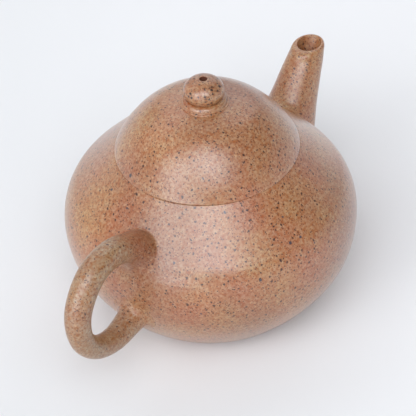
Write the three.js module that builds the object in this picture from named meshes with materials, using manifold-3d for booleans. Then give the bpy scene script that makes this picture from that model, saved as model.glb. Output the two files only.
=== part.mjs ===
// Clay teapot of unglazed stoneware: a round paddled pot with a tapered spout,
// a looped handle and a lift-off lid with a flattened ball for a knob.
// Millimetres, +Z up and +X towards the spout. The pot stands on Z = 0.
// Each piece is one that the potter forms and lutes to the next with slip, or
// lifts off: slabs and rings of the pot, the spout and its strainer, the
// handle, and the slabs and rings of the lid.

import * as THREE from 'three';
import { LoftGeometry } from 'three/addons/geometries/LoftGeometry.js';
import { mergeVertices } from 'three/addons/utils/BufferGeometryUtils.js';
import Module from 'manifold-3d';

const wasm = await Module();
wasm.setup();

// Pot outline: radius and height of the points where its curves meet
const FOOT_RADIUS = 28.3;
const BELLY_RADIUS = 47.5;
const BELLY_HEIGHT = 33.1;
const SHOULDER_RADIUS = 42.5;
const SHOULDER_HEIGHT = 46.6;
const MOUTH_RADIUS = 29.4;
const MOUTH_HEIGHT = 60.0;
const FOOT_SLOPE = 43.8;
const SHOULDER_SLOPE = 45.7;
const MOUTH_SLOPE = 45.7;

// Lid outline
const LID_RIM_SLOPE = 67;
const CROWN_RADIUS = 13.5;
const CROWN_HEIGHT = 75.75;
const CROWN_SLOPE = 16;
const LID_TOP = 77.55;

// Thickness of the clay, and the room left in each joint
const WALL = 3.0;
const LID_WALL = 2.8;
const BASE_THICKNESS = 3.2;
const JOINT_GAP = 0.3;

// Base: a flat ring to stand on round a shallow pressed dish
const DISH_RADIUS = 24.6;
const DISH_DEPTH = 1.0;

// Mouth of the pot, and the lid's flange that drops into it
const SHOULDER_OPENING_RADIUS = 28.2;
const MOUTH_BORE_RADIUS = 26.0;
const MOUTH_RING_BOTTOM = 56.3;
const LID_SEAT_THICKNESS = 2.2;
const LID_SEAT_BORE_RADIUS = 23.2;
const FLANGE_OUTER_RADIUS = 25.6;
const FLANGE_INNER_RADIUS = 23.4;
const FLANGE_BOTTOM = 53.5;
const RING_EDGE = 0.5;

// Knob: a flattened ball on a low collar, with a steam hole down its middle
const KNOB_RADIUS = 6.4;
const KNOB_HALF_HEIGHT = 4.5;
const KNOB_CENTRE_HEIGHT = 81.5;
const KNOB_NECK_RADIUS = 5.3;
const COLLAR_RADIUS = 7.2;
const COLLAR_ROUNDING = 1.7;
const COLLAR_TOP = 79.1;
const STEAM_HOLE_RADIUS = 1.2;

// Spout: [x, z, outer radius, bore radius] along its middle line
const SPOUT_STATIONS = [
  [37.0, 30.0, 13.6, 7.8],
  [43.0, 31.0, 11.6, 7.6],
  [48.6, 34.0, 10.1, 7.0],
  [54.5, 41.9, 8.1, 5.9],
  [59.4, 48.9, 6.9, 5.0],
  [63.5, 54.4, 5.9, 4.2],
  [66.6, 60.2, 4.9, 3.8],
];
const SPOUT_MOUTH_HEIGHT = 58.0;

// Strainer: a small dome pierced with rings of holes, in a round hole in the wall
const STRAINER_HEIGHT = 33.0;
const STRAINER_RADIUS = 7.2;
const STRAINER_WALL = 1.4;
const STRAINER_SEAT = 44.4;
const STRAINER_SKIRT = 1.9;
const STRAINER_HOLE_RADIUS = 0.85;
const STRAINER_RINGS = [
  { tilt: 0, holes: 1 },
  { tilt: 25, holes: 6 },
  { tilt: 50, holes: 12 },
];

// Handle: [x, z, radius] along its middle line, from the shoulder to the belly
const HANDLE_STATIONS = [
  [-35.5, 42.0, 7.8],
  [-40.4, 47.4, 6.4],
  [-45.4, 52.2, 4.8],
  [-55.2, 57.1, 4.3],
  [-65.2, 56.3, 4.25],
  [-72.7, 47.9, 4.1],
  [-72.7, 37.2, 3.75],
  [-66.2, 28.1, 3.7],
  [-57.5, 24.0, 3.9],
  [-49.0, 24.2, 4.5],
  [-41.0, 26.0, 6.0],
];

// How finely the round forms are divided
const TURN_SEGMENTS = 48;
const SMALL_TURN_SEGMENTS = 20;
const HOLE_SEGMENTS = 5;
const CURVE_DIVISIONS = 5;
const BALL_DIVISIONS = 10;
const SPOUT_RINGS = 18;
const SPOUT_SIDES = 18;
const HANDLE_RINGS = 40;
const HANDLE_SIDES = 12;

// Fired clay colours
const CLAY_BODY = '#b9825f';
const CLAY_LID = '#bb8663';
const CLAY_HANDLE = '#b5895f';
const CLAY_RAW = '#a8714f';

/** A step in the outline's plane, by its angle above the horizontal. */
function step(degrees, length) {
  const angle = THREE.MathUtils.degToRad(degrees);
  return new THREE.Vector2(length * Math.cos(angle), length * Math.sin(angle));
}

/** A curve from one point to another that leaves and arrives along given steps. */
function bend(from, leaving, arriving, to) {
  return new THREE.CubicBezierCurve(from, from.clone().add(leaving), to.clone().sub(arriving), to);
}

/** The pot's outer line, from the foot over the belly and shoulder to the mouth. */
function potLine() {
  const foot = new THREE.Vector2(FOOT_RADIUS, 0);
  const belly = new THREE.Vector2(BELLY_RADIUS, BELLY_HEIGHT);
  const shoulder = new THREE.Vector2(SHOULDER_RADIUS, SHOULDER_HEIGHT);
  const mouth = new THREE.Vector2(MOUTH_RADIUS, MOUTH_HEIGHT);
  return [
    bend(foot, step(FOOT_SLOPE, 15.5), step(90, 12.8), belly),
    bend(belly, step(90, 5.1), step(180 - SHOULDER_SLOPE, 4.7), shoulder),
    bend(shoulder, step(180 - SHOULDER_SLOPE, 6.0), step(180 - MOUTH_SLOPE, 6.0), mouth),
  ];
}

/** The lid's outer line, from its rim over the dome to the middle of its top. */
function lidLine() {
  const rim = new THREE.Vector2(MOUTH_RADIUS, MOUTH_HEIGHT);
  const crown = new THREE.Vector2(CROWN_RADIUS, CROWN_HEIGHT);
  const top = new THREE.Vector2(0, LID_TOP);
  return [
    bend(rim, step(180 - LID_RIM_SLOPE, 5.0), step(180 - CROWN_SLOPE, 7.3), crown),
    bend(crown, step(180 - CROWN_SLOPE, 6.0), step(180, 0.4 * CROWN_RADIUS), top),
  ];
}

/** Points along a line, moved sideways into the clay by the given depth. */
function offsetPoints(curves, depth) {
  return curves.flatMap((curve, index) => {
    const points = [];
    for (let i = index === 0 ? 0 : 1; i <= CURVE_DIVISIONS; i += 1) {
      const t = i / CURVE_DIVISIONS;
      const along = curve.getTangent(t);
      const inward = new THREE.Vector2(-along.y, along.x).multiplyScalar(depth);
      points.push(curve.getPoint(t).add(inward));
    }
    return points;
  });
}

/** A solid turned about the Z axis from points of radius and height, low end first. */
function turned(points, segments = TURN_SEGMENTS) {
  return toSolid(new THREE.LatheGeometry(points, segments).rotateX(Math.PI / 2));
}

/** A turned solid whose outline is closed by flat ends that reach the axis. */
function turnedBlock(points, segments) {
  const low = new THREE.Vector2(0, points[0].y);
  const high = new THREE.Vector2(0, points[points.length - 1].y);
  return turned([low, ...points, high], segments);
}

/** A turned ring of rectangular section, its two low edges broken. */
function turnedRing(inner, outer, low, high) {
  const corners = [
    [inner, low + RING_EDGE],
    [inner + RING_EDGE, low],
    [outer - RING_EDGE, low],
    [outer, low + RING_EDGE],
    [outer, high],
    [inner, high],
    [inner, low + RING_EDGE],
  ];
  return turned(corners.map(([r, z]) => new THREE.Vector2(r, z)));
}

/** A round bar about the Z axis, which bores a hole where it is subtracted. */
function bar(radius, low, high, segments = TURN_SEGMENTS) {
  const geometry = new THREE.CylinderGeometry(radius, radius, high - low, segments);
  return geometry.rotateX(Math.PI / 2).translate(0, 0, (low + high) / 2);
}

/** A wide slab between two heights, which cuts a form level. */
function levelSlab(low, high) {
  const width = 4 * BELLY_RADIUS;
  const geometry = new THREE.BoxGeometry(width, width, high - low);
  return toSolid(geometry.translate(0, 0, (low + high) / 2));
}

/** A round bar that tapers along a line in the XZ plane, through [x, z, radius] stations. */
function rolled(stations, rings, sides) {
  const line = new THREE.CatmullRomCurve3(
    stations.map(([x, z, radius]) => new THREE.Vector3(x, z, radius)),
  );
  const sections = [];
  for (let i = 0; i <= rings; i += 1) {
    const station = line.getPointAt(i / rings);
    const along = line.getTangentAt(i / rings);
    const across = new THREE.Vector3(-along.y, 0, along.x).normalize();
    const section = [];
    for (let j = 0; j < sides; j += 1) {
      const angle = (2 * Math.PI * j) / sides;
      const point = new THREE.Vector3(station.x, 0, station.y);
      point.addScaledVector(across, station.z * Math.sin(angle));
      point.y += station.z * Math.cos(angle);
      section.push(point);
    }
    sections.push(section);
  }
  const skin = new LoftGeometry(sections, { capStart: true, capEnd: true });
  return toSolid(new THREE.BufferGeometry().copy(skin));
}

/** A closed geometry as a solid that can be joined and cut. */
function toSolid(geometry) {
  geometry.deleteAttribute('normal');
  geometry.deleteAttribute('uv');
  const merged = mergeVertices(geometry);
  const index = merged.getIndex().array;
  const triVerts = [];
  for (let i = 0; i < index.length; i += 3) {
    const [a, b, c] = index.subarray(i, i + 3);
    if (a !== b && b !== c && c !== a) {
      triVerts.push(a, b, c);
    }
  }
  return new wasm.Manifold(new wasm.Mesh({
    numProp: 3,
    vertProperties: merged.getAttribute('position').array,
    triVerts: Uint32Array.from(triVerts),
  }));
}

/** A named mesh of a solid, in fired clay of the given colour. */
function clayMesh(name, solid, color) {
  const { vertProperties, triVerts } = solid.getMesh();
  const geometry = new THREE.BufferGeometry();
  geometry.setAttribute('position', new THREE.BufferAttribute(vertProperties, 3));
  geometry.setIndex(new THREE.BufferAttribute(triVerts, 1));
  geometry.computeVertexNormals();
  const material = new THREE.MeshStandardMaterial({ color, roughness: 0.55, metalness: 0 });
  const mesh = new THREE.Mesh(geometry, material);
  mesh.name = name;
  return mesh;
}

const potOuter = turnedBlock(offsetPoints(potLine(), 0));
const potInner = turnedBlock(offsetPoints(potLine(), WALL));
const potClearance = turnedBlock(offsetPoints(potLine(), -JOINT_GAP));
const potShell = potOuter.subtract(potInner);
const lidOuter = turnedBlock(offsetPoints(lidLine(), 0));
const lidInner = turnedBlock(offsetPoints(lidLine(), LID_WALL));
const steamHole = toSolid(bar(STEAM_HOLE_RADIUS, MOUTH_HEIGHT, 2 * LID_TOP, SMALL_TURN_SEGMENTS / 2));

/** The round slab that closes the pot below, pressed in a little under its middle. */
function baseDisc() {
  const dish = [
    new THREE.Vector2(DISH_RADIUS, -DISH_DEPTH),
    new THREE.Vector2(DISH_RADIUS, 0),
    new THREE.Vector2(DISH_RADIUS - DISH_DEPTH, DISH_DEPTH * 0.6),
    new THREE.Vector2(DISH_RADIUS * 0.7, DISH_DEPTH),
  ];
  return potOuter.intersect(levelSlab(-WALL, BASE_THICKNESS)).subtract(turnedBlock(dish));
}

/** The paddled wall of the belly, with a round hole behind the spout. */
function bellyWall() {
  const radius = STRAINER_RADIUS + JOINT_GAP;
  const hole = bar(radius, SHOULDER_OPENING_RADIUS, 2 * BELLY_RADIUS, SMALL_TURN_SEGMENTS);
  hole.rotateY(Math.PI / 2).translate(0, 0, STRAINER_HEIGHT);
  const wall = potShell.intersect(levelSlab(BASE_THICKNESS + JOINT_GAP, SHOULDER_HEIGHT));
  return wall.subtract(toSolid(hole));
}

/** The slab that closes the belly above, sloping up to the open mouth. */
function shoulderSlab() {
  const opening = toSolid(bar(SHOULDER_OPENING_RADIUS, SHOULDER_HEIGHT, MOUTH_HEIGHT + WALL));
  const top = MOUTH_HEIGHT - JOINT_GAP / 2;
  return potShell.intersect(levelSlab(SHOULDER_HEIGHT + JOINT_GAP, top)).subtract(opening);
}

/** The ring luted inside the mouth, level with the shoulder slab's top. */
function mouthRing() {
  const outer = SHOULDER_OPENING_RADIUS - JOINT_GAP;
  return turnedRing(MOUTH_BORE_RADIUS, outer, MOUTH_RING_BOTTOM, MOUTH_HEIGHT - JOINT_GAP / 2);
}

/** The hollow spout, luted on over the strainer and cut level at its mouth. */
function spout() {
  const outer = rolled(SPOUT_STATIONS, SPOUT_RINGS, SPOUT_SIDES);
  const bore = rolled(SPOUT_STATIONS.map(([x, z, , r]) => [x, z, r]), SPOUT_RINGS, SPOUT_SIDES);
  const above = levelSlab(SPOUT_MOUTH_HEIGHT, 2 * SPOUT_MOUTH_HEIGHT);
  return outer.subtract(bore).subtract(above).subtract(potClearance);
}

/** A half ball on a straight skirt, about the Z axis with its top at +Z. */
function halfBall(radius, skirt) {
  const arc = new THREE.Path().absarc(0, 0, radius, 0, Math.PI / 2).getPoints(CURVE_DIVISIONS);
  return turnedBlock([new THREE.Vector2(radius, -skirt), ...arc], SMALL_TURN_SEGMENTS);
}

/** The pierced dome that holds the leaves back. */
function spoutStrainer() {
  const hollow = halfBall(STRAINER_RADIUS - STRAINER_WALL, 2 * STRAINER_SKIRT);
  let shell = halfBall(STRAINER_RADIUS, STRAINER_SKIRT).subtract(hollow);
  for (const { tilt, holes } of STRAINER_RINGS) {
    for (let i = 0; i < holes; i += 1) {
      const drill = bar(STRAINER_HOLE_RADIUS, STRAINER_RADIUS / 2, 2 * STRAINER_RADIUS, HOLE_SEGMENTS);
      drill.rotateY(THREE.MathUtils.degToRad(tilt)).rotateZ((2 * Math.PI * i) / holes);
      shell = shell.subtract(toSolid(drill));
    }
  }
  return shell;
}

/** The rolled handle, luted to the shoulder above and to the belly below. */
function handle() {
  return rolled(HANDLE_STATIONS, HANDLE_RINGS, HANDLE_SIDES).subtract(potClearance);
}

/** The dished slab of the lid, with the steam hole through its middle. */
function lidDome() {
  const low = MOUTH_HEIGHT + LID_SEAT_THICKNESS + JOINT_GAP;
  return lidOuter.subtract(lidInner).intersect(levelSlab(low, LID_TOP + WALL)).subtract(steamHole);
}

/** The flat ring under the dome that rests on the pot's mouth. */
function lidSeatRing() {
  const bore = toSolid(bar(LID_SEAT_BORE_RADIUS, FLANGE_BOTTOM, LID_TOP));
  const slab = levelSlab(MOUTH_HEIGHT + JOINT_GAP / 2, MOUTH_HEIGHT + LID_SEAT_THICKNESS);
  return lidOuter.intersect(slab).subtract(bore);
}

/** The upright ring that keeps the lid in the mouth. */
function lidFlange() {
  const top = MOUTH_HEIGHT - JOINT_GAP / 2;
  return turnedRing(FLANGE_INNER_RADIUS, FLANGE_OUTER_RADIUS, FLANGE_BOTTOM, top);
}

/** The low rounded collar that the knob stands on. */
function knobCollar() {
  const edge = new THREE.Path();
  const turn = COLLAR_RADIUS - COLLAR_ROUNDING;
  edge.absarc(turn, COLLAR_TOP - COLLAR_ROUNDING, COLLAR_ROUNDING, 0, Math.PI / 2);
  const foot = new THREE.Vector2(COLLAR_RADIUS, CROWN_HEIGHT);
  const block = turnedBlock([foot, ...edge.getPoints(CURVE_DIVISIONS)], SMALL_TURN_SEGMENTS);
  const dome = turnedBlock(offsetPoints(lidLine(), -JOINT_GAP), SMALL_TURN_SEGMENTS);
  return block.subtract(dome).subtract(steamHole);
}

/** The flattened ball of the knob, standing on a short neck. */
function knob() {
  const low = COLLAR_TOP + JOINT_GAP;
  const start = Math.asin((low + RING_EDGE - KNOB_CENTRE_HEIGHT) / KNOB_HALF_HEIGHT);
  const ball = new THREE.Path();
  ball.absellipse(0, KNOB_CENTRE_HEIGHT, KNOB_RADIUS, KNOB_HALF_HEIGHT, start, Math.PI / 2);
  const outline = [new THREE.Vector2(KNOB_NECK_RADIUS, low), ...ball.getPoints(BALL_DIVISIONS)];
  return turnedBlock(outline, SMALL_TURN_SEGMENTS).subtract(steamHole);
}

// The strainer's top faces the middle of the pot
const strainer = clayMesh('spout_strainer', spoutStrainer(), CLAY_RAW);
strainer.position.set(STRAINER_SEAT, 0, STRAINER_HEIGHT);
strainer.rotation.y = -Math.PI / 2;

const pot = new THREE.Group();
pot.add(
  clayMesh('base_disc', baseDisc(), CLAY_BODY),
  clayMesh('belly_wall', bellyWall(), CLAY_BODY),
  clayMesh('shoulder_slab', shoulderSlab(), CLAY_BODY),
  clayMesh('mouth_ring', mouthRing(), CLAY_RAW),
  clayMesh('spout', spout(), CLAY_BODY),
  strainer,
  clayMesh('handle', handle(), CLAY_HANDLE),
);

const lid = new THREE.Group();
lid.add(
  clayMesh('lid_dome', lidDome(), CLAY_LID),
  clayMesh('lid_seat_ring', lidSeatRing(), CLAY_LID),
  clayMesh('lid_flange', lidFlange(), CLAY_RAW),
  clayMesh('knob_collar', knobCollar(), CLAY_LID),
  clayMesh('knob', knob(), CLAY_LID),
);

// The origin is midway between the spout's tip and the handle's back
const teapot = new THREE.Group();
teapot.add(pot, lid);
const bounds = new THREE.Box3().setFromObject(teapot);
teapot.position.x = -(bounds.min.x + bounds.max.x) / 2;

export default teapot;
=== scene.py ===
"""Looks of the clay teapot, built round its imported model.

The pot is built by hand from slabs, rings and rolls of unglazed speckled stoneware. Each piece is a fine
mesh of the same form as the CAD node that it stands for, and keeps that node's place. Sizes are millimetres
about the pot's own upright axis, with +X towards the spout, unless a docstring says otherwise.
"""

import logging
import math
from dataclasses import dataclass, replace
from enum import Enum
from typing import Any, Sequence

import bmesh
import bpy
import numpy as np
from mathutils import Matrix, Vector


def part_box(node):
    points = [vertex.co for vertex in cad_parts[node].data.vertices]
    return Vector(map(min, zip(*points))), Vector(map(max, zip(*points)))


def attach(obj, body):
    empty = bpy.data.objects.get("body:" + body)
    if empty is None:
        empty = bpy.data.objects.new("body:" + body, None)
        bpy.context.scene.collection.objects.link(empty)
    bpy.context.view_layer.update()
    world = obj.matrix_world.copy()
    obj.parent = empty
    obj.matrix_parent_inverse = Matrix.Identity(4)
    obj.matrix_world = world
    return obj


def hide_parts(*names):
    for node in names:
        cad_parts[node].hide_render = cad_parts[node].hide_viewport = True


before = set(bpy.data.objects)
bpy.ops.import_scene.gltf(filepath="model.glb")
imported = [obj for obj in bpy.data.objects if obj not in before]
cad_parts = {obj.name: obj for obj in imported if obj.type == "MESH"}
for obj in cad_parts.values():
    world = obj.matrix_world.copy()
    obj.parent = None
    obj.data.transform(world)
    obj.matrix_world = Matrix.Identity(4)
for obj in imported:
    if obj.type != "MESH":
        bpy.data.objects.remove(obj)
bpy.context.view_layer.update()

log = logging.getLogger("teapot")

MM = 0.001

# How finely shapes are divided
TURN_SEGMENTS = 192
SMALL_TURN_SEGMENTS = 96
DRILL_SEGMENTS = 48
BEND_STEPS = 48
STATION_STEPS = 60
SKIN_STEPS = 2400
EASE_STEPS = 7
BROAD_EASE_STEPS = 12
DOME_STEPS = 24
BALL_STEPS = 40

# The gap between a round or a joint of a section and the next point along it
SHORT_STEP = 0.05

# Points closer than this, in metres, are one
WELD_DISTANCE = 1e-7

# Faces that meet more sharply than this, in degrees, keep an edge
SHARP_ANGLE = 35.0

Pair = tuple[float, float]
Triple = tuple[float, float, float]


class Body(Enum):
    """The two bodies that the pieces ride on."""

    POT = "pot"
    LID = "lid"


def bezier(
    first: np.ndarray, second: np.ndarray, third: np.ndarray, last: np.ndarray, count: int
) -> np.ndarray:
    """Steps along one or more cubic curves.

    Args:
        first: Where each curve starts.
        second: The control point after it.
        third: The control point before the end.
        last: Where each curve ends.
        count: Number of steps, both ends included.

    Returns:
        The points, with the steps along the first axis.
    """
    t = np.linspace(0.0, 1.0, count).reshape((-1,) + (1,) * np.ndim(first))
    return (1 - t) ** 3 * first + 3 * (1 - t) ** 2 * t * second + 3 * (1 - t) * t**2 * third + t**3 * last


def eased(start: Pair, corner: Pair, end: Pair, count: int = EASE_STEPS) -> np.ndarray:
    """A corner wiped round with a wet cloth.

    Args:
        start: Where the round begins.
        corner: The corner that it replaces.
        end: Where the round ends.
        count: Number of points.

    Returns:
        The points of the round.
    """
    pull = 1.5
    first, middle, last = np.array(start), np.array(corner), np.array(end)
    return bezier(first, first + (middle - first) / pull, last + (middle - last) / pull, last, count)


def between(line: np.ndarray, low: float, high: float) -> np.ndarray:
    """The part of a rising line between two heights.

    Args:
        line: Radius and height of its points, low end first.
        low: Height where the part starts.
        high: Height where it ends.

    Returns:
        The part's points, the first and last exactly at those heights.
    """
    apart = 1e-6
    middle = line[(line[:, 1] > low + apart) & (line[:, 1] < high - apart)]
    ends = [[np.interp(height, line[:, 1], line[:, 0]), height] for height in (low, high)]
    return np.vstack((ends[:1], middle, ends[1:]))


def headings(line: np.ndarray) -> np.ndarray:
    """Unit vectors along a line, one for each of its points."""
    along = np.gradient(line, axis=0)
    return along / np.linalg.norm(along, axis=1)[:, None]


def resampled(line: np.ndarray, known: np.ndarray, wanted: np.ndarray) -> np.ndarray:
    """Points of a line at wanted values of a measure that is known at its own points."""
    return np.column_stack([np.interp(wanted, known, part) for part in line.T])


def turned_rows(section: np.ndarray, segments: int) -> np.ndarray:
    """A section's radii and heights turned about the upright axis.

    Args:
        section: Radius and height of its points.
        segments: Number of divisions of the turn.

    Returns:
        A ring of points for each point of the section, shape (points, segments, 3).
    """
    angle = np.linspace(0, 2 * math.pi, segments, endpoint=False)
    radius, height = section[:, :1], section[:, 1:]
    return np.stack((radius * np.cos(angle), radius * np.sin(angle), height + 0 * angle), axis=2)


@dataclass(frozen=True)
class Bend:
    """One curve of an outline, with the slope in degrees and the length of the step at each end."""

    start: Pair
    leaving: Pair
    arriving: Pair
    end: Pair

    @staticmethod
    def step(slope: float, length: float) -> np.ndarray:
        """A step in the outline's plane."""
        return length * np.array((math.cos(math.radians(slope)), math.sin(math.radians(slope))))

    def points(self) -> np.ndarray:
        """Points along the curve.

        Returns:
            Their radii and heights.
        """
        start, end = np.array(self.start), np.array(self.end)
        leave, arrive = self.step(*self.leaving), self.step(*self.arriving)
        return bezier(start, start + leave, end - arrive, end, BEND_STEPS)


@dataclass(frozen=True)
class Outline:
    """The outer line of a turned form, low end first."""

    line: np.ndarray

    @classmethod
    def of(cls, bends: Sequence[Bend]) -> "Outline":
        """An outline through bends that join end to start."""
        parts = [bend.points() for bend in bends]
        return cls(np.vstack([parts[0]] + [part[1:] for part in parts[1:]]))

    def inside(self, depth: float) -> np.ndarray:
        """The line moved into the clay by a depth."""
        along = headings(self.line)
        return self.line + depth * np.column_stack((-along[:, 1], along[:, 0]))

    def radius_at(self, height: Any) -> Any:
        """The outer radius at one height or several."""
        return np.interp(height, self.line[:, 1], self.line[:, 0])


@dataclass(frozen=True)
class Skin:
    """The pot's outer surface, which the spout and the handle are luted to."""

    outline: Outline

    def over(self, points: np.ndarray) -> np.ndarray:
        """How far points lie outside the surface, measured level. It is negative inside."""
        return np.hypot(points[..., 0], points[..., 1]) - self.outline.radius_at(points[..., 2])

    def nearest(self, points: np.ndarray) -> tuple[np.ndarray, np.ndarray]:
        """The nearest points of the surface.

        Args:
            points: Any points near the surface, one per row.

        Returns:
            The points on the surface, and the outward normals there.
        """
        line = self.outline.line
        fine = resampled(line, np.linspace(0, 1, len(line)), np.linspace(0, 1, SKIN_STEPS))
        along = headings(fine)
        radius = np.hypot(points[:, 0], points[:, 1])
        here = np.column_stack((radius, points[:, 2]))
        pick = np.argmin(((here[:, None, :] - fine[None]) ** 2).sum(2), axis=1)
        turn = points[:, :2] / radius[:, None]
        found = np.column_stack((turn * fine[pick, :1], fine[pick, 1]))
        normal = np.column_stack((turn * along[pick, 1:], -along[pick, 0]))
        return found, normal


@dataclass(frozen=True)
class HandWork:
    """The slight waviness that the paddle and the horn scraper leave in the wall."""

    depth: float = 0.22
    waves: int = 7
    seed: int = 11

    # The least and the most height that one wave climbs over
    climbs: Pair = (22.0, 60.0)

    # The work starts this far from the axis, and is full this much farther out
    start: float = 8.0
    fade: float = 20.0

    def applied(self, points: np.ndarray) -> np.ndarray:
        """Presses points in towards the axis by a smooth, uneven depth.

        Args:
            points: Points of a piece, one per row.

        Returns:
            The same points, never moved outwards.
        """
        chance = np.random.default_rng(self.seed)
        angle = np.arctan2(points[:, 1], points[:, 0])
        radius = np.hypot(points[:, 0], points[:, 1])
        sum_of_waves = np.zeros(len(points))
        for turn in range(2, 2 + self.waves):
            climb = 2 * math.pi / chance.uniform(*self.climbs)
            phase = chance.uniform(0, 2 * math.pi)
            sum_of_waves += np.sin(turn * angle + climb * points[:, 2] + phase) / turn
        reach = np.clip((radius - self.start) / self.fade, 0.0, 1.0)
        press = self.depth * (0.5 + 0.5 * np.tanh(sum_of_waves)) * reach
        moved = points.copy()
        moved[:, :2] *= (1 - press / np.maximum(radius, self.start))[:, None]
        return moved


@dataclass
class Shell:
    """Points and faces of a piece."""

    points: np.ndarray
    faces: list[tuple[int, ...]]

    @classmethod
    def woven(cls, rows: np.ndarray, looped: bool) -> "Shell":
        """A shell through rings of points.

        Args:
            rows: Rings of points, shape (rings, sides, 3).
            looped: True if the last ring joins the first. Otherwise each end is closed by a fan.

        Returns:
            The shell.
        """
        rings, sides = rows.shape[:2]
        points = rows.reshape(-1, 3)
        last = rings if looped else rings - 1
        index = np.arange(rings * sides).reshape(rings, sides)
        faces = []
        for ring in range(last):
            low, high = index[ring], index[(ring + 1) % rings]
            faces += list(zip(low, np.roll(low, -1), np.roll(high, -1), high))
        if not looped:
            points = np.vstack((points, rows[0].mean(axis=0), rows[-1].mean(axis=0)))
            for ring, hub in ((index[0], len(points) - 2), (index[-1], len(points) - 1)):
                faces += [(a, b, hub) for a, b in zip(ring, np.roll(ring, -1))]
        return cls(points, [tuple(map(int, face)) for face in faces])

    @classmethod
    def turned(cls, section: np.ndarray, segments: int = TURN_SEGMENTS) -> "Shell":
        """A shell turned about the upright axis from the points of a closed section, in order."""
        return cls.woven(turned_rows(section, segments), looped=True)

    def joined(self, other: "Shell") -> "Shell":
        """Puts another shell with this one.

        Args:
            other: The other shell.

        Returns:
            Both as one set of points and faces.
        """
        start = len(self.points)
        shifted = [tuple(corner + start for corner in face) for face in other.faces]
        return Shell(np.vstack((self.points, other.points)), self.faces + shifted)


def cylinder(
    radius: float, length: float, direction: Vector, start: Vector, segments: int = DRILL_SEGMENTS
) -> Shell:
    """A plain round bar, used only to pierce another piece.

    Args:
        radius: Its radius.
        length: Its length.
        direction: The way it runs.
        start: The middle of its first end.
        segments: Number of divisions round it.

    Returns:
        The bar.
    """
    turn = np.array(direction.to_track_quat("Z", "Y").to_matrix())
    rows = turned_rows(np.array(((radius, 0.0), (radius, length))), segments)
    return Shell.woven(rows @ turn.T + np.array(start), looped=False)


@dataclass(frozen=True)
class Roll:
    """A round roll of clay along a line in the XZ plane."""

    stations: tuple[Triple, ...]
    sides: int
    steps: int = 420

    def middle(self) -> np.ndarray:
        """The middle line and radius as a smooth curve through the stations.

        Returns:
            Rows of x, z and radius, evenly spaced along the line.
        """
        given = np.array(self.stations)
        given = np.vstack((2 * given[0] - given[1], given, 2 * given[-1] - given[-2]))
        pieces = []
        for before, start, end, after in zip(given, given[1:], given[2:], given[3:]):
            spans = ((before, start), (start, end), (end, after))
            back, here, on = (math.sqrt(np.linalg.norm(b - a)) for a, b in spans)
            leaving = (start - before) / back - (end - before) / (back + here) + (end - start) / here
            arriving = (end - start) / here - (after - start) / (here + on) + (after - end) / on
            reach = here / 3
            curve = bezier(start, start + leaving * reach, end - arriving * reach, end, STATION_STEPS)
            pieces.append(curve[:-1])
        line = np.vstack(pieces + [given[-2:-1]])
        travelled = np.concatenate(([0], np.cumsum(np.linalg.norm(np.diff(line, axis=0), axis=1))))
        even = np.linspace(0, travelled[-1], self.steps)
        return resampled(line, travelled, even)

    def angles(self) -> np.ndarray:
        """The angle of each side round the roll. At a quarter turn it is on the line's left."""
        return np.linspace(0, 2 * math.pi, self.sides, endpoint=False)

    def lines(self) -> tuple[np.ndarray, np.ndarray]:
        """The lines along the roll's surface.

        Returns:
            Their points, shape (steps, sides, 3), and the middle line's points.
        """
        middle = self.middle()
        along = headings(middle[:, :2])
        centres = np.column_stack((middle[:, 0], 0 * middle[:, 0], middle[:, 1]))
        across = np.column_stack((-along[:, 1], 0 * along[:, 0], along[:, 0]))
        angles = self.angles()[None, :, None]
        level = np.array((0.0, 1.0, 0.0))
        round_it = np.sin(angles) * across[:, None, :] + np.cos(angles) * level
        return centres[:, None, :] + middle[:, 2][:, None, None] * round_it, centres


def lengths(lines: np.ndarray) -> np.ndarray:
    """Distance travelled along each line, shape (steps, sides)."""
    steps = np.linalg.norm(np.diff(lines, axis=0), axis=2)
    return np.vstack((np.zeros((1, lines.shape[1])), np.cumsum(steps, axis=0)))


def points_at(lines: np.ndarray, travelled: np.ndarray, distances: np.ndarray) -> np.ndarray:
    """Points at given distances along each line.

    Args:
        lines: Points of the lines, shape (steps, sides, 3).
        travelled: Their distances along the lines.
        distances: The distances asked for, shape (rows, sides).

    Returns:
        The points, shape (rows, sides, 3).
    """
    found = np.empty(distances.shape + (3,))
    for side in range(lines.shape[1]):
        for part in range(3):
            found[:, side, part] = np.interp(distances[:, side], travelled[:, side], lines[:, side, part])
    return found


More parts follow.
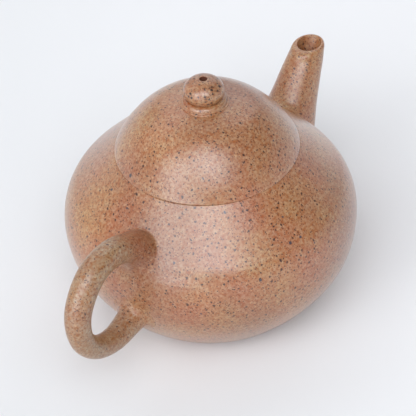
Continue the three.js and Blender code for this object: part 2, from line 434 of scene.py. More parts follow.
@dataclass(frozen=True)
class Luting:
    """Slip wiped into the corner where a roll meets the pot, so that one runs into the other."""

    skin: Skin

    # How far the slip runs up the roll, and out over the pot, at each side of the roll
    up: np.ndarray
    out: np.ndarray
    rows: int = 18

    # The edge of the slip runs this far past the corner, and this deep under the pot's surface
    past: float = 0.6
    sunk: float = 0.15

    # The length over which a line's heading is taken, and how full the corner's curve is
    heading_step: float = 0.3
    fullness: float = 0.62

    def seat(self, lines: np.ndarray, centres: np.ndarray, free_rows: int) -> np.ndarray:
        """Ends a roll's lines on the pot.

        Args:
            lines: Points of the lines from outside the pot to inside it, shape (steps, sides, 3).
            centres: The middle line's points at the same steps.
            free_rows: Number of rows kept on the free part of the roll.

        Returns:
            Rows of points: the free part, the wiped corner and an edge sunk under the pot's surface.
        """
        sides = np.arange(lines.shape[1])
        over = self.skin.over(lines)
        inside = np.argmax(over < 0, axis=0)
        before, after = over[inside - 1, sides], over[inside, sides]
        share = before / (before - after)
        travelled = lengths(lines)
        meet_at = (1 - share) * travelled[inside - 1, sides] + share * travelled[inside, sides]
        start_at = meet_at - self.up
        free = points_at(lines, travelled, np.linspace(0, 1, free_rows)[:, None] * start_at)
        meet = points_at(lines, travelled, meet_at[None])[0]
        back = points_at(lines, travelled, (start_at - self.heading_step)[None])[0]
        heading = free[-1] - back
        heading /= np.linalg.norm(heading, axis=1)[:, None]
        middle = (1 - share)[:, None] * centres[inside - 1] + share[:, None] * centres[inside]
        meet, normal = self.skin.nearest(meet)
        outward = self.level(meet - middle, normal)
        landing, normal = self.skin.nearest(meet + outward * self.out[:, None])
        outward = self.level(outward, normal)
        leave = heading * self.fullness * self.up[:, None]
        arrive = outward * self.fullness * self.out[:, None]
        corner = bezier(free[-1], free[-1] + leave, landing - arrive, landing, self.rows)
        edge, normal = self.skin.nearest(landing + self.past * outward)
        return np.concatenate((free, corner[1:], (edge - self.sunk * normal)[None]))

    @staticmethod
    def level(direction: np.ndarray, normal: np.ndarray) -> np.ndarray:
        """Directions laid flat on a surface, as unit vectors."""
        flat = direction - (direction * normal).sum(1)[:, None] * normal
        return flat / np.linalg.norm(flat, axis=1)[:, None]


def linear(colour: str) -> tuple[float, float, float, float]:
    """An sRGB hex colour as linear red, green, blue and alpha."""
    parts = [int(colour[i : i + 2], 16) / 255 for i in (1, 3, 5)]
    return (*(c / 12.92 if c <= 0.04045 else ((c + 0.055) / 1.055) ** 2.4 for c in parts), 1.0)


def bare_tree(owner: bpy.types.Material | bpy.types.World) -> bpy.types.NodeTree:
    """The node tree of a new material or world, emptied.

    Args:
        owner: The material or world.

    Returns:
        Its tree.
    """
    owner.use_nodes = True
    owner.node_tree.nodes.clear()
    return owner.node_tree


def add_node(
    tree: bpy.types.NodeTree, kind: str, sockets: dict[Any, Any] | None = None, **settings: Any
) -> bpy.types.Node:
    """Adds a node with its settings and links.

    Args:
        tree: The node tree that it goes into.
        kind: Blender's name for the kind of node.
        sockets: For each input, by name or number, a value or the output that feeds it.
        settings: The node's own properties.

    Returns:
        The node.
    """
    node = tree.nodes.new(kind)
    for name, value in settings.items():
        setattr(node, name, value)
    for key, value in (sockets or {}).items():
        if isinstance(value, bpy.types.NodeSocket):
            tree.links.new(value, node.inputs[key])
        else:
            node.inputs[key].default_value = value
    return node


def per_metre(size: float) -> float:
    """The scale of a pattern whose features are a size in millimetres."""
    return 1.0 / (size * MM)


@dataclass(frozen=True)
class Pattern:
    """A soft uneven pattern in the clay."""

    # The size of its features in millimetres, and how much finer detail it has
    size: float
    detail: float

    # Values of the raw pattern that give the two ends of the span, and the span
    raw: Pair
    span: Pair = (0.0, 1.0)


@dataclass(frozen=True)
class Shading:
    """The node tree of one finish, and its output with the place in the clay, in metres."""

    tree: bpy.types.NodeTree
    place: Any

    def uneven(self, pattern: Pattern) -> Any:
        """Adds a pattern.

        Args:
            pattern: The pattern.

        Returns:
            The output with it.
        """
        sockets = {"Vector": self.place, "Scale": per_metre(pattern.size), "Detail": pattern.detail}
        noise = add_node(self.tree, "ShaderNodeTexNoise", sockets)
        sockets = {"Value": noise.outputs[0], **dict(enumerate(pattern.raw + pattern.span, 1))}
        return add_node(self.tree, "ShaderNodeMapRange", sockets).outputs[0]

    def strayed(self, size: float, reach: float) -> "Shading":
        """Moves the place about a little, so that what is round in it comes out not quite round.

        Args:
            size: Size of the moves' pattern, in millimetres.
            reach: The longest move along each axis, in millimetres.

        Returns:
            The shading with the moved place.
        """
        sockets = {"Vector": self.place, "Scale": per_metre(size), "Detail": 1.0}
        stray = add_node(self.tree, "ShaderNodeTexNoise", sockets).outputs["Color"]
        steps = (
            ("SUBTRACT", {1: (0.5, 0.5, 0.5)}),
            ("SCALE", {"Scale": 2 * reach * MM}),
            ("ADD", {1: self.place}),
        )
        moved = stray
        for operation, others in steps:
            sockets = {0: moved, **others}
            moved = add_node(self.tree, "ShaderNodeVectorMath", sockets, operation=operation).outputs[0]
        return Shading(self.tree, moved)


@dataclass(frozen=True)
class Grains:
    """Round grains scattered through the clay and cut through by the surface."""

    colour: str

    # Millimetres between grains, and the least and the largest radius
    spacing: float
    smallest: float
    largest: float
    strength: float

    # The share of a grain's radius within which its colour is full
    core: float = 0.55

    def laid_on(self, shading: Shading, ground: Any) -> Any:
        """Adds the grains to a colour.

        Args:
            shading: Where they go.
            ground: Output with the colour they lie in.

        Returns:
            The output with the new colour.
        """
        tree = shading.tree
        cells = add_node(
            tree, "ShaderNodeTexVoronoi", {"Vector": shading.place, "Scale": per_metre(self.spacing)}
        )
        chance = add_node(tree, "ShaderNodeSeparateColor", {0: cells.outputs["Color"]})
        radius = add_node(
            tree, "ShaderNodeMapRange",
            {"Value": chance.outputs[0], 3: self.smallest / self.spacing, 4: self.largest / self.spacing},
        )
        core = add_node(tree, "ShaderNodeMath", {0: radius.outputs[0], 1: self.core}, operation="MULTIPLY")
        on = add_node(
            tree, "ShaderNodeMapRange",
            {"Value": cells.outputs["Distance"], 1: radius.outputs[0], 2: core.outputs[0]},
            interpolation_type="SMOOTHSTEP",
        )
        amount = add_node(
            tree, "ShaderNodeMath", {0: on.outputs[0], 1: self.strength}, operation="MULTIPLY"
        )
        laid = add_node(
            tree, "ShaderNodeMix",
            {0: amount.outputs[0], 6: ground, 7: linear(self.colour)},
            data_type="RGBA",
        )
        return laid.outputs[2]


@dataclass(frozen=True)
class Stoneware:
    """Sandy red stoneware with ironstone in it, fired unglazed.

    Its body is opaque fired clay, so it has the index of a silicate, about 1.6, and no metal. What the eye
    gets is a dry, even colour that drifts from salmon to tan, sand that shows as a fine grain, and dark
    specks where grains of ironstone melted at the surface. Burnishing closes the skin, which the coat
    stands for: a second, soft sheen over the clay.
    """

    name: str
    slot: str
    warm: str
    tan: str
    brown: str
    roughness: float
    coat: float
    grain_height: float
    grains: tuple[Grains, ...]

    # The clay that this one is wiped onto, and the places along X in the CAD's frame between which it is
    wiped_onto: "Stoneware | None" = None
    wiped: Pair = (0.0, 0.0)

    ior: float = 1.58
    coat_roughness: float = 0.35
    coat_ior: float = 1.55
    polish_spread: float = 0.03

    # Clouds of salmon and tan, a slower drift to brown, and a mottle in the colour and the polish
    clouds: Pattern = Pattern(17.0, 4.0, (0.36, 0.64))
    drift: Pattern = Pattern(38.0, 2.0, (0.4, 0.7), (0.0, 0.75))
    mottle: Pattern = Pattern(2.6, 3.0, (0.3, 0.7))

    # The sand is about 0.15 mm, too fine to show, so its grain is drawn at 0.9 mm
    sand: Pattern = Pattern(0.9, 2.0, (0.28, 0.72))
    relief: Pattern = Pattern(0.9, 2.0, (0.2, 0.8))

    # How far the grains' edges wander, and over what size
    wander: float = 0.35
    wander_size: float = 0.9

    # How far the mottle and the sand tint the colour, and how that falls on red, green and blue, so that
    # it runs from a darker red to a lighter yellow
    mottle_depth: float = 0.06
    sand_depth: float = 0.3
    tint: Triple = (0.5, 1.6, 2.8)

    def material(self) -> bpy.types.Material:
        """Makes the material.

        Returns:
            The material, with its colour, roughness and relief from the place in the clay.
        """
        material = bpy.data.materials.new(self.name)
        tree = bare_tree(material)
        shading = Shading(tree, add_node(tree, "ShaderNodeTexCoord").outputs["Object"])
        ends = (self.roughness - self.polish_spread, self.roughness + self.polish_spread)
        polish = shading.uneven(replace(self.mottle, span=ends))
        relief = shading.uneven(self.relief)
        bump = add_node(
            tree, "ShaderNodeBump", {"Height": relief, "Distance": self.grain_height * MM, "Strength": 1.0}
        )
        surface = add_node(
            tree, "ShaderNodeBsdfPrincipled",
            {
                "Base Color": self.colour(shading),
                "Roughness": polish,
                "Normal": bump.outputs[0],
                "IOR": self.ior,
                "Coat Weight": self.coat,
                "Coat Roughness": self.coat_roughness,
                "Coat IOR": self.coat_ior,
            },
        )
        add_node(tree, "ShaderNodeOutputMaterial", {"Surface": surface.outputs[0]})
        return material

    def colour(self, shading: Shading) -> Any:
        """The clay's colour with its sand and grains.

        Args:
            shading: Where it goes.

        Returns:
            The output with the colour.
        """
        tree = shading.tree
        colour = self.ground(shading)
        if self.wiped_onto:
            sideways = add_node(tree, "ShaderNodeSeparateXYZ", {0: shading.place}).outputs[0]
            free, seated = self.wiped
            share = add_node(tree, "ShaderNodeMapRange", {"Value": sideways, 1: free * MM, 2: seated * MM})
            colour = add_node(
                tree, "ShaderNodeMix",
                {0: share.outputs[0], 6: colour, 7: self.wiped_onto.ground(shading)},
                data_type="RGBA",
            ).outputs[2]
        mottle, sand = shading.uneven(self.mottle), shading.uneven(self.sand)
        for pattern, depth in ((mottle, self.mottle_depth), (sand, self.sand_depth)):
            pull = np.array(self.tint) * depth
            tint = add_node(
                tree, "ShaderNodeMix",
                {0: pattern, 6: (*(1 - pull), 1.0), 7: (*(1 + pull), 1.0)},
                data_type="RGBA",
            )
            colour = add_node(
                tree, "ShaderNodeMix",
                {0: 1.0, 6: colour, 7: tint.outputs[2]},
                data_type="RGBA", blend_type="MULTIPLY",
            ).outputs[2]
        strayed = shading.strayed(self.wander_size, self.wander)
        for grains in self.grains:
            colour = grains.laid_on(strayed, colour)
        return colour

    def ground(self, shading: Shading) -> Any:
        """The plain clay's colour, which drifts in clouds.

        Args:
            shading: Where it goes.

        Returns:
            The output with the colour.
        """
        clouds, drift = shading.uneven(self.clouds), shading.uneven(self.drift)
        colour = linear(self.warm)
        for amount, other in ((clouds, self.tan), (drift, self.brown)):
            sockets = {0: amount, 6: colour, 7: linear(other)}
            colour = add_node(shading.tree, "ShaderNodeMix", sockets, data_type="RGBA").outputs[2]
        return colour


# Quartz sand that stays pale, clay that darkened round iron, and ironstone that melted into black specks
SAND = Grains(colour="#e2b47e", spacing=1.0, smallest=0.1, largest=0.4, strength=0.26)
FINE_SPECKS = Grains(colour="#5c2710", spacing=0.6, smallest=0.08, largest=0.31, strength=0.74)
SPECKS = Grains(colour="#3a1a10", spacing=1.25, smallest=0.05, largest=0.5, strength=0.93)
KNOB_SPECKS = Grains(colour="#2c1713", spacing=1.5, smallest=0.25, largest=0.6, strength=0.96)
RED_SPECKS = Grains(colour="#461e15", spacing=1.3, smallest=0.05, largest=0.47, strength=0.92)
IRONSTONE = Grains(colour="#333946", spacing=5.6, smallest=0.35, largest=0.75, strength=0.9)
SPECKLE = (SAND, FINE_SPECKS, SPECKS, IRONSTONE)
SPARSE_SPECKLE = (SAND, FINE_SPECKS, RED_SPECKS)

# Paddled, scraped and burnished with horn, so its sheen is broad and even, and the clay's grain still shows
BODY_CLAY = Stoneware(
    name="burnished_stoneware", slot="stoneware_body",
    warm="#af704b", tan="#b68353", brown="#925b3e",
    roughness=0.34, coat=1.0, grain_height=0.002, grains=SPECKLE,
)


class Clay(Enum):
    """The finishes of the pot's pieces."""

    BODY = BODY_CLAY

    # Burnished like the body, and a shade smoother from more handling
    LID = replace(
        BODY_CLAY, name="burnished_lid_stoneware", slot="stoneware_lid",
        warm="#af714b", tan="#b78453", brown="#925c3e", roughness=0.33,
    )

    # Burnished like the lid and a touch paler, with more of the larger specks
    KNOB = replace(
        BODY_CLAY, name="burnished_knob_stoneware", slot="stoneware_lid",
        warm="#b07550", tan="#b88858", brown="#946043",
        roughness=0.33, coat=0.9, grains=(SAND, FINE_SPECKS, SPECKS, KNOB_SPECKS),
    )

    # Smoothed with a wet cloth and not burnished, so its sheen is duller and its specks are fewer and redder
    SPOUT = replace(
        BODY_CLAY, name="wiped_spout_stoneware", roughness=0.4, coat=0.85, grains=SPARSE_SPECKLE,
    )

    # Rolled by hand: yellower and drier to the eye, and shading into the body's clay where it is wiped on
    HANDLE = replace(
        BODY_CLAY, name="rolled_handle_stoneware", slot="stoneware_handle",
        warm="#a87b59", tan="#b08e64", brown="#986d4f",
        roughness=0.42, coat=0.5, grains=SPARSE_SPECKLE, wiped_onto=BODY_CLAY, wiped=(-49.5, -42.0),
    )

    # The steam hole's bore: left rough by the borer, and coloured darker as painted shade, so it reads as a
    # hole from afar
    STAINED = Stoneware(
        name="painted_shade_bore_stoneware", slot="stoneware_lid",
        warm="#7a4530", tan="#7f4e36", brown="#653827",
        roughness=0.75, coat=0.0, grain_height=0.02, grains=(SAND,),
    )

    # Trimmed with a knife and left matt, so it shows hardly any sheen
    INSIDE = Stoneware(
        name="trimmed_stoneware", slot="stoneware_inside",
        warm="#a8704f", tan="#b08460", brown="#966044",
        roughness=0.68, coat=0.0, grain_height=0.03, grains=SPECKLE,
    )


def placed(name: str, data: bpy.types.ID) -> bpy.types.Object:
    """A new object in the scene.

    Args:
        name: Its name.
        data: Its mesh, light or camera.

    Returns:
        The object.
    """
    thing = bpy.data.objects.new(name, data)
    bpy.context.scene.collection.objects.link(thing)
    return thing


@dataclass
class Workbench:
    """Turns shells into Blender objects that ride on the CAD bodies."""

    axis: float
    work: HandWork
    dressed: dict[Clay, bpy.types.Material]

    @classmethod
    def set_up(cls) -> "Workbench":
        """A bench with the pot's axis found from the base, and every finish made."""
        low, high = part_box("base_disc")
        return cls((low.x + high.x) / 2, HandWork(), {clay: clay.value.material() for clay in Clay})

    def solid(self, name: str, shell: Shell) -> bpy.types.Object:
        """A smooth object in the CAD's frame.

        Args:
            name: The object's name.
            shell: Its points and faces, in millimetres about the pot's axis.

        Returns:
            The object, linked into the scene.
        """
        points = self.work.applied(shell.points) * MM
        points[:, 0] += self.axis
        mesh = bpy.data.meshes.new(name)
        mesh.from_pydata(points.tolist(), [], shell.faces)
        form = bmesh.new()
        form.from_mesh(mesh)
        bmesh.ops.remove_doubles(form, verts=form.verts, dist=WELD_DISTANCE)
        bmesh.ops.recalc_face_normals(form, faces=form.faces)
        form.to_mesh(mesh)
        form.free()
        return placed(name, mesh)

    def pierced(self, piece: bpy.types.Object, drill: Shell) -> None:
        """Cuts holes in a piece.

        Args:
            piece: The piece, whose mesh is replaced.
            drill: What is cut away.
        """
        tool = self.solid("drill", drill)
        cut = piece.modifiers.new("holes", "BOOLEAN")
        cut.object = tool
        cut.operation = "DIFFERENCE"
        cut.solver = "EXACT"
        ready = piece.evaluated_get(bpy.context.evaluated_depsgraph_get())
        mesh = bpy.data.meshes.new_from_object(ready)
        piece.modifiers.clear()
        piece.data = mesh
        bpy.data.objects.remove(tool)

    def paint_shade(self, piece: bpy.types.Object, radius: float, clay: Clay) -> None:
        """Gives a finished piece another finish near the pot's axis: the painted shade in the bore of the
        steam hole.

        Args:
            piece: The piece.
            radius: How far from the axis the finish reaches.
            clay: The finish.
        """
        piece.data.materials.append(self.dressed[clay])
        for face in piece.data.polygons:
            if math.hypot(face.center.x - self.axis, face.center.y) < radius * MM:
                face.material_index = 1

    def made(
        self, name: str, shell: Shell, body: Body, clay: Clay, node: str, drill: Shell | None = None
    ) -> bpy.types.Object:
        """Makes a piece, dresses it and hands it to its body.

        Args:
            name: The piece's name.
            shell: Its points and faces.
            body: The body that it rides on.
            clay: Its finish.
            node: The CAD node that it stands for.
            drill: What is cut away from it.

        Returns:
            The piece.
        """
        piece = self.solid(name, shell)
        if drill:
            self.pierced(piece, drill)
        piece.data.shade_smooth()
        piece.data.set_sharp_from_angle(angle=math.radians(SHARP_ANGLE))
        piece.data.materials.clear()
        piece.data.materials.append(self.dressed[clay])
        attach(piece, body.value)
        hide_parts(node)
        log.info("%s: %d points, for %s", name, len(piece.data.vertices), node)
        return piece


@dataclass(frozen=True)
class PotBody:
    """The pot without its spout and handle: base, belly wall, shoulder slab and mouth ring."""

    foot: Pair = (28.3, 0.0)
    belly: Pair = (47.5, 33.1)
    shoulder: Pair = (42.5, 46.6)
    mouth: Pair = (29.4, 60.0)
    foot_slope: float = 43.8
    cone_slope: float = 45.7
    wall: float = 3.0
    base_top: float = 3.2
    base_joint: float = 3.35
    shoulder_joint: float = 46.75
    top: float = 59.95
    foot_round: float = 0.7
    dish_radius: float = 24.6
    dish_depth: float = 1.0

    # The dish's edge: how far in its curve starts and how high, how far in its corner is, and how far in
    # it is near its full depth. The curve then flattens at these shares of the dish's radius
    dish_edge: float = 0.9
    dish_rise: float = 0.35
    dish_corner: float = 0.2
    dish_run: float = 3.0
    dish_flat: Pair = (0.7, 0.4)

    slab_ease: float = 0.15
    ring_ease: float = 0.5
    opening_radius: float = 28.2
    bore_radius: float = 26.0
    ring_bottom: float = 56.3
    strainer_hole: float = 7.5
    strainer_height: float = 33.0

    def outline(self) -> Outline:
        """The outer line, from the foot to the mouth.

        Returns:
            The outline.
        """
        cone = 180 - self.cone_slope
        return Outline.of((
            Bend(self.foot, (self.foot_slope, 15.5), (90, 12.8), self.belly),
            Bend(self.belly, (90, 5.1), (cone, 4.7), self.shoulder),
            Bend(self.shoulder, (cone, 6.0), (cone, 6.0), self.mouth),
        ))

    def base(self) -> Shell:
        """The base slab: a flat ring to stand on round a pressed dish.

        Returns:
            The shell.
        """
        outline = self.outline()
        edge, ease, depth = self.dish_radius, self.foot_round, self.dish_depth
        inner, outer = edge - self.dish_edge, edge - self.dish_run
        flat = [(share * edge, depth) for share in self.dish_flat]
        dish_points = ((inner, self.dish_rise), (outer, depth), *flat)
        dish = bezier(*(np.array(point) for point in dish_points), BROAD_EASE_STEPS)
        inside_radius = float(np.interp(self.base_joint, *outline.inside(self.wall).T[::-1]))
        return Shell.turned(np.vstack((
            ((0.0, depth),),
            dish[::-1],
            eased((inner, self.dish_rise), (edge - self.dish_corner, 0.0), (edge + ease, 0.0)),
            eased((self.foot[0] - ease, 0.0), self.foot, (float(outline.radius_at(ease)), ease)),
            between(outline.line, ease + SHORT_STEP, self.base_joint),
            ((inside_radius, self.base_joint),),
            ((0.0, self.base_top),),
        )))

    def belly_wall(self) -> Shell:
        """The paddled wall, as a closed band.

        Returns:
            The shell.
        """
        outline = self.outline()
        outer = between(outline.line, self.base_joint, self.shoulder_joint)
        inner = between(outline.inside(self.wall), self.base_joint, self.shoulder_joint)
        return Shell.turned(np.vstack((outer, inner[::-1])))

    def shoulder_slab(self) -> Shell:
        """The slab over the belly, its upper edge wiped round.

        Returns:
            The shell.
        """
        outline = self.outline()
        ease = self.slab_ease
        outer = between(outline.line, self.shoulder_joint, self.top - ease)
        rim = float(outline.radius_at(self.top))
        inner = between(outline.inside(self.wall), self.shoulder_joint, self.mouth[1])
        inner = inner[inner[:, 0] > self.opening_radius]
        return Shell.turned(np.vstack((
            outer,
            eased(tuple(outer[-1]), (rim, self.top), (rim - ease, self.top)),
            ((self.opening_radius, self.top),),
            ((self.opening_radius, inner[-1, 1]),),
            inner[::-1],
        )))

    def mouth_ring(self) -> Shell:
        """The ring inside the mouth, which the lid's flange runs in.

        Returns:
            The shell.
        """
        ease, inner, outer = self.ring_ease, self.bore_radius, self.opening_radius
        low, high = self.ring_bottom, self.top
        return Shell.turned(np.vstack((
            eased((inner, low + ease), (inner, low), (inner + ease, low)),
            ((outer, low),),
            ((outer, high),),
            eased((inner + ease, high), (inner, high), (inner, high - ease)),
        )))

    def build(self, bench: Workbench) -> None:
        """Makes the four pieces.

        Args:
            bench: Where they are made.
        """
        start = Vector((self.opening_radius, 0, self.strainer_height))
        drill = cylinder(self.strainer_hole, self.belly[0], Vector((1, 0, 0)), start)
        bench.made("base_slab", self.base(), Body.POT, Clay.BODY, "base_disc")
        bench.made("paddled_belly", self.belly_wall(), Body.POT, Clay.BODY, "belly_wall", drill)
        bench.made("shoulder", self.shoulder_slab(), Body.POT, Clay.BODY, "shoulder_slab")
        bench.made("inner_mouth_ring", self.mouth_ring(), Body.POT, Clay.INSIDE, "mouth_ring")


@dataclass(frozen=True)
class Strainer:
    """The pierced half ball in the wall behind the spout."""

    radius: float = 7.2
    wall: float = 1.4
    skirt: float = 1.9
    seat: float = 44.4
    height: float = PotBody.strainer_height
    hole: float = 0.85
    hole_sides: int = 20
    dome_sides: int = 72

    # The holes' rings: how far each is tilted from the top, in degrees, and how many holes it has
    rings: tuple[tuple[float, int], ...] = ((0, 1), (25, 6), (50, 12))

    def dome(self) -> Shell:
        """The half ball before it is pierced, its top towards the middle of the pot.

        Returns:
            The shell.
        """
        turn = np.linspace(0, math.pi / 2, DOME_STEPS)
        arc = np.column_stack((np.cos(turn), np.sin(turn)))
        inner, foot = self.radius - self.wall, -self.skirt
        section = np.vstack((((self.radius, foot),), self.radius * arc, inner * arc[::-1], ((inner, foot),)))
        shell = Shell.turned(section, self.dome_sides)
        x, y, z = shell.points.T
        return Shell(np.column_stack((self.seat - z, y, x + self.height)), shell.faces)

    def drills(self) -> Shell:
        """The bars that pierce it, in rings round its top.

        Returns:
            Their shells as one.
        """
        centre = Vector((self.seat, 0, self.height))
        bars = None
        for tilt, count in self.rings:
            for number in range(count):
                lean, turn = math.radians(tilt), 2 * math.pi * number / count
                aside = math.sin(lean)
                way = Vector((-math.cos(lean), aside * math.sin(turn), -aside * math.cos(turn)))
                bar = cylinder(self.hole, self.radius, way, centre + way * self.radius / 2, self.hole_sides)
                bars = bar if bars is None else bars.joined(bar)
        return bars

    def build(self, bench: Workbench) -> None:
        """Makes the strainer."""
        bench.made("ball_strainer", self.dome(), Body.POT, Clay.INSIDE, "spout_strainer", self.drills())


@dataclass(frozen=True)
class Spout:
    """The hollow tapered spout, cut level at its mouth and wiped into the belly."""

    # X and height of the middle line, radius of the outside, and radius of the bore
    stations: tuple[tuple[float, float, float, float], ...] = (
        (37.0, 30.0, 13.6, 7.8),
        (43.0, 31.0, 11.6, 7.6),
        (48.6, 34.0, 10.1, 7.0),
        (54.5, 41.9, 8.1, 5.9),
        (59.4, 48.9, 6.9, 5.0),
        (63.5, 54.4, 5.9, 4.2),
        (66.6, 60.2, 4.9, 3.8),
    )
    mouth: float = 58.0
    sides: int = 96
    fine_steps: int = 400
    outer_rows: int = 60
    bore_rows: int = 40

    # The lip's least depth, how much deeper it is over the belly, and the bore's own small edge
    lip: float = 0.35
    lip_rounding: float = 2.3
    bore_edge: float = 0.2

    # The lip's highest line, as a share of the way from the bore to the outside, and how the curves leave it
    lip_crest: float = 0.3
    crest_in: float = 0.2
    crest_out: float = 0.45
    lip_pull: float = 0.5
    lip_rows: tuple[int, int] = (6, 14)

    # How far the bore leans out at the mouth, and how far outside the pot's surface it starts
    bore_lean: float = 0.4
    bore_start: float = 0.3

    luting_up: float = 5.0
    luting_out: float = 4.0

    def lips(self) -> np.ndarray:
        """Height of the rounded lip at each side. It is softest on the side over the belly."""
        turn = np.linspace(0, 2 * math.pi, self.sides, endpoint=False)
        return self.lip + self.lip_rounding * (0.5 + 0.5 * np.sin(turn))

    def cut(self, lines: np.ndarray, drop: np.ndarray) -> tuple[np.ndarray, np.ndarray, np.ndarray]:
        """Cuts rising lines a little under the mouth.

        Args:
            lines: Points of the lines from the root up, shape (steps, sides, 3).
            drop: How far under the mouth each line is cut.

        Returns:
            The distance along each line to the cut, the point there, and the line's heading there.
        """
        heading_step = 0.5
        travelled = lengths(lines)
        heights = self.mouth - drop
        at = np.array([
            np.interp(heights[side], lines[:, side, 2], travelled[:, side]) for side in range(self.sides)
        ])
        end, before = points_at(lines, travelled, np.stack((at, at - heading_step)))
        heading = end - before
        return at, end, heading / np.linalg.norm(heading, axis=1)[:, None]

    def shell(self, skin: Skin) -> Shell:
        """The outside, the rounded lip and the bore, as one closed skin.

        Args:
            skin: The pot's surface, which the root is wiped into.

        Returns:
            The shell.
        """
        outside, centres = Roll(tuple((x, z, r) for x, z, r, _ in self.stations), self.sides).lines()
        *lower, (tip_x, tip_z, _, tip_bore) = self.stations
        bore_line = (*((x, z, r) for x, z, _, r in lower), (tip_x + self.bore_lean, tip_z, tip_bore))
        bore, _ = Roll(bore_line, self.sides).lines()
        lip = self.lips()
        outer_at, outer_end, outer_way = self.cut(outside, lip)
        inner_at, inner_end, inner_way = self.cut(bore, np.full(self.sides, self.bore_edge))

        # The outside, from the lip down to the slip round the root
        share = np.linspace(1, 0, self.fine_steps)[:, None]
        falling = points_at(outside, lengths(outside), share * outer_at)
        known = np.linspace(0, 1, len(centres))
        middle = resampled(centres, known, share[:, 0])
        luting = Luting(skin, np.full(self.sides, self.luting_up), np.full(self.sides, self.luting_out))
        outer_rows = luting.seat(falling, middle, self.outer_rows)

        # The bore, from just outside the belly's surface up to the lip
        travelled = lengths(bore)
        over = skin.over(bore)
        start = np.array([
            np.interp(self.bore_start, over[:, side], travelled[:, side]) for side in range(self.sides)
        ])
        share = np.linspace(0, 1, self.bore_rows)[:, None]
        inner_rows = points_at(bore, travelled, start + share * (inner_at - start))

        # The lip, over its highest line
        across = outer_end - inner_end
        top = inner_end + self.lip_crest * across
        top[:, 2] = self.mouth
        across[:, 2] = 0
        rise = self.lip_pull * self.bore_edge * inner_way
        fall = self.lip_pull * lip[:, None] * outer_way
        rows_in, rows_out = self.lip_rows
        over_in = bezier(inner_end, inner_end + rise, top - self.crest_in * across, top, rows_in)
        over_out = bezier(top, top + self.crest_out * across, outer_end + fall, outer_end, rows_out)
        rows = np.concatenate((inner_rows, over_in[1:], over_out[1:-1], outer_rows))
        return Shell.woven(rows, looped=True)

    def build(self, bench: Workbench, skin: Skin) -> None:
        """Makes the spout."""
        bench.made("tapered_spout", self.shell(skin), Body.POT, Clay.SPOUT, "spout")


@dataclass(frozen=True)
class Handle:
    """The rolled loop, creased where it meets the shoulder above and wiped in elsewhere."""

    # X and height of the middle line, and its radius
    stations: tuple[Triple, ...] = (
        (-35.5, 42.0, 7.8),
        (-40.4, 47.4, 6.4),
        (-45.4, 52.2, 4.8),
        (-55.2, 57.1, 4.3),
        (-65.2, 56.3, 4.25),
        (-72.7, 47.9, 4.1),
        (-72.7, 37.2, 3.75),
        (-66.2, 28.1, 3.7),
        (-57.5, 24.0, 3.9),
        (-49.0, 24.2, 4.5),
        (-41.0, 26.0, 6.0),
    )
    sides: int = 72
    root_rows: int = 90

    # Size of the slip at the upper root, above and on the underside, and at the lower root
    crease: float = 0.5
    underside: float = 4.0
    crease_power: float = 1.5
    lower_root: float = 2.6

    def shell(self, skin: Skin) -> Shell:
        """The loop with both its roots.

        Args:
            skin: The pot's surface, which the roots are wiped into.

        Returns:
            The shell.
        """
        roll = Roll(self.stations, self.sides)
        lines, centres = roll.lines()
        half = len(lines) // 2

        # The roll's left is the inner side of the loop, so at the upper root it is the underside
        under = 0.5 + 0.5 * np.sin(roll.angles())
        size = self.crease + (self.underside - self.crease) * under**self.crease_power
        upper = Luting(skin, size, size).seat(lines[half::-1], centres[half::-1], self.root_rows)
        even = np.full(self.sides, self.lower_root)
        lower = Luting(skin, even, even).seat(lines[half:], centres[half:], self.root_rows)
        return Shell.woven(np.concatenate((upper[::-1], lower[1:])), looped=False)

    def build(self, bench: Workbench, skin: Skin) -> None:
        """Makes the handle."""
        bench.made("looped_handle", self.shell(skin), Body.POT, Clay.HANDLE, "handle")


